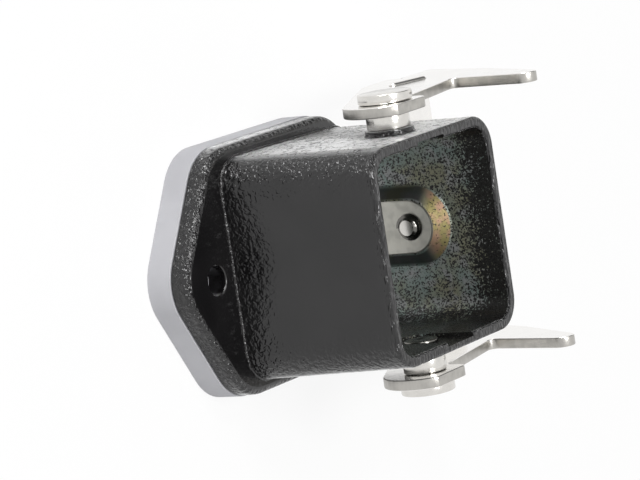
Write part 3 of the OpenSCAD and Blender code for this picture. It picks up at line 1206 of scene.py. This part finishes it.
@dataclass(frozen=True)
class LockingLever:
    """Stamped lever: two arms with eyes and hooks, joined by a strap behind the hood."""

    pivot_z: float = 18.7
    arm_y: float = 14.4
    sheet: float = 1.2
    eye_r: float = 4.75
    eye_flat: float = 3.55
    eye_front: float = 3.1
    eye_corner_r: float = 1.0
    root_r: float = 0.8
    eye_hole_r: float = 1.55
    hook_reach: float = 16.4
    hook_drop: float = 1.3
    hook_rise: float = 9.3
    hook_lean: float = 1.1
    hook_corner_r: float = 0.8
    arm_rise: float = 0.85
    tip_r: float = 1.4
    swell: float = 0.8
    swell_r: float = 4.0
    strap_x: float = 20.4
    strap_w: float = 6.2
    strap_drop: float = 12.15
    bend_r: float = 0.8
    bend_steps: int = 8
    relief: float = 0.5
    back_x: float = 13.0
    back_r: float = 2.0
    bead_r: float = 0.55
    bead_h: float = 0.35
    bead_l: float = 4.4
    bead_reach: float = 16.0
    bead_drop: float = 6.9
    bead_tilt: float = 16.1
    bead_steps: int = 9
    bead_turn: int = 48
    edge: float = 0.13
    down_facing: float = -0.9
    arm_edge_facing: float = 0.5
    strap_edge_facing: float = 0.7

    def arm_circles(self) -> list[Circle]:
        """Signed circles of one arm's outline about the pivot.

        Returns:
            The circles, anticlockwise.
        """
        bend_z = self.bend_r + self.sheet - self.strap_drop
        handle_x = self.strap_x + self.strap_w
        notch_x = self.strap_x - self.relief
        heel = (handle_x, bend_z, 0.0)
        tip = (self.hook_reach - self.hook_lean + self.tip_r, self.hook_rise - self.tip_r, self.tip_r)
        low, high = touching_line(heel, tip)
        back = (high - low).normalized()
        middle = (low + high) / 2 + Vector((back.y, -back.x)) * (self.swell - self.swell_r)
        corner = Vector((self.hook_reach, -self.hook_drop))
        hook_edge = touching_line(tip, (corner.x, corner.y, 0.0))[0]
        leave = Vector((self.eye_front, self.arm_rise))
        flat_end = -math.sqrt(self.eye_r ** 2 - self.eye_flat ** 2)
        return [
            (0.0, 0.0, self.eye_r),
            (self.back_x + self.back_r, self.back_r - self.strap_drop, self.back_r),
            (notch_x, -self.strap_drop, 0.0),
            (notch_x, bend_z, 0.0),
            (self.strap_x, bend_z, 0.0),
            heel,
            (middle.x, middle.y, self.swell_r),
            tip,
            inner_corner(corner, hook_edge, leave, self.hook_corner_r),
            inner_corner(leave, corner, Vector((self.eye_front, self.eye_flat)), self.root_r),
            (self.eye_front - self.eye_corner_r, self.eye_flat - self.eye_corner_r, self.eye_corner_r),
            (flat_end, self.eye_flat, 0.0),
        ]

    def bead(self, side: Side) -> Shape:
        """Stiffening bead on the outer face of an arm.

        Args:
            side: The pivot side.

        Returns:
            The closed shape.
        """
        shape = Shape()
        half, r = self.bead_l / 2, self.bead_r
        ends = [(r * math.sin(a), -half - r * math.cos(a)) for a in quarter(self.bead_steps)]
        ends += [(r * math.cos(a), half + r * math.sin(a)) for a in quarter(self.bead_steps)]
        turn = Matrix.Rotation(RIGHT_ANGLE - math.radians(self.bead_tilt), 4, "Y")
        shape.turned(ends, self.bead_turn).place(turn)
        y = side.value * (self.arm_y + self.sheet + self.bead_h - r)
        return shape.place(Matrix.Translation((self.bead_reach, y, self.pivot_z - self.bead_drop)))

    def pressing(self) -> Shape:
        """Both arms, their bends and the strap as one sheet.

        Returns:
            The closed shape.
        """
        shape = Shape()
        bm = shape.bm
        shape.plate(self.arm_circles(), 0, self.sheet)
        shape.place(along_y(self.arm_y + self.sheet, self.pivot_z))
        bend_z = self.pivot_z - self.strap_drop + self.bend_r + self.sheet
        start = next(f for f in bm.faces
                     if f.normal.z < self.down_facing and f.calc_center_median().x > self.strap_x
                     and abs(f.calc_center_median().z - bend_z) < MERGE)
        made = bmesh.ops.spin(bm, geom=[start], cent=(0, self.arm_y - self.bend_r, bend_z), axis=(1, 0, 0),
                              angle=-RIGHT_ANGLE, steps=self.bend_steps, use_duplicate=False)
        last = next(item for item in made["geom_last"] if isinstance(item, BMFace))
        made = bmesh.ops.extrude_face_region(bm, geom=[last])["geom"]
        for vert in (item for item in made if isinstance(item, BMVert)):
            vert.co.y = 0.0
        seam = [item for item in made if isinstance(item, BMFace)]
        bmesh.ops.delete(bm, geom=seam, context="FACES_ONLY")
        bmesh.ops.mirror(bm, geom=bm.verts[:] + bm.edges[:] + bm.faces[:], matrix=Matrix.Identity(4),
                         merge_dist=MERGE, axis="Y")
        bmesh.ops.remove_doubles(bm, verts=bm.verts, dist=MERGE)
        buried = [face for face in bm.faces if all(len(edge.link_faces) > 2 for edge in face.edges)]
        bmesh.ops.delete(bm, geom=buried, context="FACES_ONLY")
        return shape.outward()

    def build(self) -> bpy.types.Object:
        """Models the lever and dresses its faces and stamped edges.

        Returns:
            The finished object.
        """
        shape = self.pressing().soften(self.edge)
        reach, r = self.arm_y + 2 * self.sheet, self.eye_hole_r
        drill = Shape().turned([(0, -reach), (r, -reach), (r, reach), (0, reach)])
        shape.meet(drill.place(along_y(0, self.pivot_z)), Join.CUT)
        for side in Side:
            shape.meet(self.bead(side), Join.ADD)
        shape.paint(1, self.is_edge)
        piece = Piece("lever", "lever", "locking_lever", "lever_steel")
        return shape.finished(piece, [ROLLED_STAINLESS, SHEARED_EDGE])

    def is_edge(self, face: BMFace) -> bool:
        """Tells the stamped edges of the sheet from its faces.

        Args:
            face: A face of the piece.

        Returns:
            Whether it is an edge.
        """
        middle = face.calc_center_median()
        low = self.pivot_z - self.strap_drop
        on_strap = middle.x > self.strap_x and middle.z < low + self.bend_r + self.sheet
        if on_strap:
            return abs(face.normal.x) > self.strap_edge_facing
        return abs(face.normal.y) < self.arm_edge_facing


@dataclass(frozen=True)
class PivotSet:
    """Rivet and spacer sleeve on one side of the hood."""

    casting: Casting
    side: Side
    shank_r: float = 1.5
    play: float = 0.05
    spacer_r: float = 2.4
    spacer_h: float = 1.65
    head_r: float = 3.0
    head_t: float = 1.05
    head_y: float = 15.65
    tail_r: float = 1.9
    tail_h: float = 0.4
    dimple: tuple[Span, ...] = ((0.0, 0.12), (0.7, 0.1), (1.0, 0.0))
    edge: float = 0.14
    # Darker steel colour that the rivet's tail faces get; the finish is otherwise the same as the head's.
    darker_steel: Colour = (0.2, 0.195, 0.18)

    @property
    def label(self) -> str:
        """Name of the side."""
        return self.side.name.lower()

    def steel(self) -> Finish:
        """Finish of both pieces."""
        return TurnedSteel("turned_rivet", (0.0, self.casting.pivot_z))

    def rivet(self) -> bpy.types.Object:
        """Headed rivet with a swaged tail that has a shallow dimple.

        Returns:
            The finished object.
        """
        cast = self.casting
        tail_y = cast.inner_w + cast.channel_depth - self.tail_h
        head = self.head_y - tail_y
        top, r = head + self.head_t, self.shank_r
        profile = [*self.dimple, (self.tail_r, 0), (self.tail_r, self.tail_h), (r, self.tail_h), (r, head),
                   (self.head_r, head), (self.head_r, top), (0, top)]
        shape = Shape().turned(profile, FINE_TURN).soften(self.edge).place(cast.on_pivot(self.side, tail_y))
        # The tail faces inside the hood take a darker steel colour than the head.
        shape.paint(1, lambda face: abs(face.calc_center_median().y) < tail_y + self.tail_h + MERGE)
        piece = Piece(f"{self.label}_rivet", "housing", f"{self.label}_pivot_rivet", "rivet_steel")
        darker_steel = TurnedSteel("darker_tail_steel", (0.0, cast.pivot_z), colour=self.darker_steel)
        return shape.finished(piece, [self.steel(), darker_steel])

    def spacer(self) -> bpy.types.Object:
        """Spacer sleeve between the pad and the lever.

        Returns:
            The finished object.
        """
        cast = self.casting
        bore = self.shank_r + self.play
        profile = [(bore, 0), (self.spacer_r, 0), (self.spacer_r, self.spacer_h), (bore, self.spacer_h)]
        shape = Shape().turned(profile, FINE_TURN).soften(self.edge)
        shape.place(cast.on_pivot(self.side, cast.half_w + cast.pad_h))
        piece = Piece(f"{self.label}_spacer", "housing", f"{self.label}_pivot_spacer", "rivet_steel")
        return shape.finished(piece, [self.steel()])

    def build(self) -> list[bpy.types.Object]:
        """Models both pieces."""
        return [self.rivet(), self.spacer()]


@dataclass(frozen=True)
class InsertScrew:
    """Screw that holds the insert, with the seal under its head."""

    casting: Casting
    major_r: float = 1.5
    core_r: float = 1.2
    pitch: float = 0.35
    thread_start: float = 0.3
    tip_proud: float = 0.7
    tip_chamfer: float = 0.3
    head_r: float = 2.75
    head_t: float = 1.6
    slot_w: float = 0.8
    slot_depth: float = 0.8
    seal_r: float = 3.0
    seal_t: float = 0.7
    seal_round: float = 0.3
    seal_segments: int = 4
    edge: float = 0.16
    ridge: float = 0.44
    crest: float = 0.06
    sink: float = 0.06
    thread_steps: int = 32
    tip_facing: float = -0.95
    # Painted shade: darker steel colour for the thread, shank and tip chamfer, standing in for the ring of
    # shade round the screw's tip.
    darker_steel: Colour = (0.16, 0.155, 0.145)

    @property
    def tip_x(self) -> float:
        """Place of the screw's tip."""
        return self.casting.boss_x - self.tip_proud

    @property
    def seat_x(self) -> float:
        """Place of the seal's seat."""
        return self.casting.half_l - self.casting.seat_depth

    def thread(self, length: float) -> Shape:
        """Helical ridge round the shank.

        Args:
            length: Length of the shank under the head.

        Returns:
            The closed shape.
        """
        shape = Shape()
        bm = shape.bm
        half = self.ridge * self.pitch
        crest = self.crest * self.pitch
        root = self.core_r - self.sink
        corners = [(root, -half), (self.major_r, -crest), (self.major_r, crest), (root, half)]
        face = bm.faces.new([bm.verts.new((radius, 0, self.thread_start + height))
                             for radius, height in corners])
        turns = (length - self.thread_start - self.pitch) / self.pitch
        steps = round(turns * self.thread_steps)
        bmesh.ops.spin(bm, geom=[face], cent=(0, 0, 0), axis=(0, 0, 1), angle=turns * FULL_TURN,
                       steps=steps, dvec=(0, 0, turns * self.pitch / steps), use_duplicate=False)
        return shape.outward()

    def screw(self) -> bpy.types.Object:
        """Slotted cheese-head screw with a cut thread.

        Returns:
            The finished object.
        """
        head_x = self.seat_x + self.seal_t
        length = head_x - self.tip_x
        top = length + self.head_t
        profile = [(0, 0), (self.core_r - self.tip_chamfer, 0), (self.core_r, self.tip_chamfer),
                   (self.core_r, length), (self.head_r, length), (self.head_r, top), (0, top)]
        shape = Shape().turned(profile, FINE_TURN)
        past = self.casting.past
        reach = self.head_r + past
        low = Vector((-self.slot_w / 2, -reach, top - self.slot_depth))
        shape.meet(Shape().block(low, Vector((self.slot_w / 2, reach, top + past))), Join.CUT)
        shape.soften(self.edge)
        thread = self.thread(length)
        extra = thread.mesh("thread")
        shape.bm.from_mesh(extra)
        bpy.data.meshes.remove(extra)
        thread.bm.free()
        shape.place(self.casting.on_screw(self.tip_x))
        # Painted shade: every face under the seat except the tip's end face takes the darker steel, so a
        # dark ring shows round the bright tip.
        shape.paint(1, lambda face: (face.calc_center_median().x < self.seat_x
                                     and face.normal.x > self.tip_facing))
        piece = Piece("screw", "housing", "insert_screw", "screw_steel")
        centre = (0.0, self.casting.screw_z)
        darker_steel = TurnedSteel("painted_shade_thread", centre, along_x=True, colour=self.darker_steel)
        return shape.finished(piece, [TurnedSteel("turned_screw", centre, along_x=True), darker_steel])

    def seal(self) -> bpy.types.Object:
        """Round-edged seal under the head.

        Returns:
            The finished object.
        """
        bore = self.casting.thread_r
        profile = [(bore, 0), (self.seal_r, 0), (self.seal_r, self.seal_t), (bore, self.seal_t)]
        shape = Shape().turned(profile, FINE_TURN).soften(self.seal_t * self.seal_round, self.seal_segments)
        shape.place(self.casting.on_screw(self.seat_x))
        piece = Piece("seal", "housing", "screw_seal", "seal_rubber")
        return shape.finished(piece, [BLACK_RUBBER])

    def build(self) -> list[bpy.types.Object]:
        """Models screw and seal."""
        return [self.screw(), self.seal()]


@dataclass(frozen=True)
class Lamp:
    """A soft square studio lamp that looks at the part; a glint is seen in highlights only."""

    name: str
    place: Triple
    size: float
    watts: float
    glint: bool = False

    def build(self, target: Vector) -> None:
        """Hangs the lamp and turns it to the target.

        Args:
            target: The point it looks at.
        """
        data = bpy.data.lights.new(self.name, "AREA")
        data.shape = "RECTANGLE"
        data.size = data.size_y = self.size
        data.energy = self.watts
        lamp = bpy.data.objects.new(self.name, data)
        lamp.visible_camera = False
        lamp.visible_diffuse = not self.glint
        lamp.location = self.place
        lamp.rotation_euler = (target - lamp.location).to_track_quat("-Z", "Y").to_euler()
        bpy.context.scene.collection.objects.link(lamp)


@dataclass(frozen=True)
class PaleCard(Finish):
    """White card of the studio floor, which still takes the part's shadow."""

    glow: float = 0.88
    grey: Colour = (0.9, 0.9, 0.9)
    pale: Colour = (0.94, 0.94, 0.94)
    speck: float = 3.0
    rough: float = 0.9

    def shader(self, graph: Graph) -> Value:
        """Mostly even white to the eye and in reflections, plain white card to other light.

        Args:
            graph: Node tree to write into.

        Returns:
            The shader.
        """
        speck = graph.noise(graph.point(), self.speck)
        card = graph.principled(Base_Color=graph.mix(speck, self.grey, self.pale), Roughness=self.rough)
        white = graph.node("ShaderNodeEmission", None, {"Color": WHITE, "Strength": 1.0})
        lit = graph.node("ShaderNodeMixShader", None, {0: self.glow, 1: card, 2: white})
        return graph.node("ShaderNodeMixShader", None, {0: seen_directly(graph), 1: card, 2: lit})


def seen_directly(graph: Graph) -> Value:
    """Finds the rays that show a thing as it looks.

    Args:
        graph: Node tree to write into.

    Returns:
        1 for rays from the eye, from a mirror or through glass, otherwise 0.
    """
    rays = [graph.node("ShaderNodeLightPath", None, None, name)
            for name in ("Is Camera Ray", "Is Glossy Ray", "Is Transmission Ray")]
    return rays[0].larger(rays[1].larger(rays[2]))


@dataclass(frozen=True)
class Studio:
    """Camera, lamps, floor and surroundings."""

    eye: Triple = (-359.94, 61.10, 249.29)
    right: Triple = (0.53384, -0.15005, 0.83216)
    down: Triple = (-0.19745, -0.97905, -0.04987)
    forward: Triple = (0.82221, -0.13769, -0.55228)
    focal_px: float = 3955.0
    image_w: float = 640.0
    sensor: float = 36.0
    clip: float = 0.01
    floor: float = 6.0
    gap: Triple = (-0.47, 0.69, 0.55)
    gap_band: Span = (0.9, 0.97)
    dim: float = 0.05
    far_gap: Triple = (0.64, 0.7, 0.32)
    far_band: Span = (0.86, 0.96)
    far_dim: float = 0.15
    fill: float = 0.46
    lamps: tuple[Lamp, ...] = (
        Lamp("lamp_top", (-0.19, 0.37, 0.51), 0.15, 0.8),
        Lamp("lamp_left", (-0.31, 0.53, 0.07), 0.08, 0.5),
        Lamp("glint_top", (-0.2, 0.38, 0.5), 0.2, 0.9, True),
        Lamp("glint_side", (-0.16, 0.6, 0.11), 0.2, 1.9, True),
        Lamp("lamp_mouth", (-0.2, 0.1, 0.62), 0.2, 2.0))

    def camera(self) -> None:
        """Sets the camera at the photograph's viewing angle."""
        data = bpy.data.cameras.new("camera")
        data.sensor_fit = "HORIZONTAL"
        data.sensor_width = self.sensor
        data.lens = self.focal_px * self.sensor / self.image_w
        data.clip_start = self.clip
        camera = bpy.data.objects.new("camera", data)
        columns = Matrix((self.right, [-c for c in self.down], [-c for c in self.forward])).transposed()
        camera.matrix_world = Matrix.Translation(Vector(self.eye) * MM) @ columns.to_4x4()
        bpy.context.scene.collection.objects.link(camera)
        bpy.context.scene.camera = camera

    def ground(self) -> None:
        """Lays the floor."""
        bm = bmesh.new()
        bmesh.ops.create_grid(bm, x_segments=1, y_segments=1, size=self.floor / 2)
        mesh = bpy.data.meshes.new("floor")
        bm.to_mesh(mesh)
        bm.free()
        mesh.materials.append(PaleCard("white_card").material())
        floor = bpy.data.objects.new("floor", mesh)
        bpy.context.scene.collection.objects.link(floor)
        floor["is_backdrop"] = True

    def surroundings(self) -> None:
        """White room with two dark gaps, above the camera and behind, that are seen only in reflections."""
        world = bpy.data.worlds.new("white_room")
        bpy.context.scene.world = world
        world.use_nodes = True
        graph = Graph(world.node_tree)
        way = graph.node("ShaderNodeTexCoord", None, None, "Generated")
        shade = 1.0
        for gap, band, dim in ((self.gap, self.gap_band, self.dim),
                               (self.far_gap, self.far_band, self.far_dim)):
            facing = graph.node("ShaderNodeVectorMath", {"operation": "DOT_PRODUCT"},
                                {0: way, 1: gap}, "Value")
            shade = shade - facing.ramp(*band) * (1.0 - dim)
        path = graph.node("ShaderNodeLightPath", None, None, "Is Camera Ray")
        seen = seen_directly(graph)
        strength = path.larger(shade * seen).larger((1.0 - seen) * self.fill)
        back = graph.node("ShaderNodeBackground", None, {"Color": WHITE, "Strength": strength})
        graph.node("ShaderNodeOutputWorld", None, {"Surface": back})

    def build(self, target: Vector) -> None:
        """Sets up the whole studio round the part.

        Args:
            target: The middle of the part.
        """
        bpy.context.scene.view_settings.view_transform = "Standard"
        self.camera()
        self.ground()
        self.surroundings()
        for lamp in self.lamps:
            lamp.build(target)


def main() -> None:
    """Loads the frame, builds every piece and sets the studio."""
    logging.basicConfig(level=logging.INFO, format="%(name)s %(message)s")
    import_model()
    cad_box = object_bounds()
    casting = Casting()
    casting.build()
    FlangeGasket(casting).build()
    LockingLever().build()
    for side in Side:
        PivotSet(casting, side).build()
    InsertScrew(casting).build()
    Studio().build((cad_box[0] + cad_box[1]) / 2)


if __name__ == "__main__":
    main()
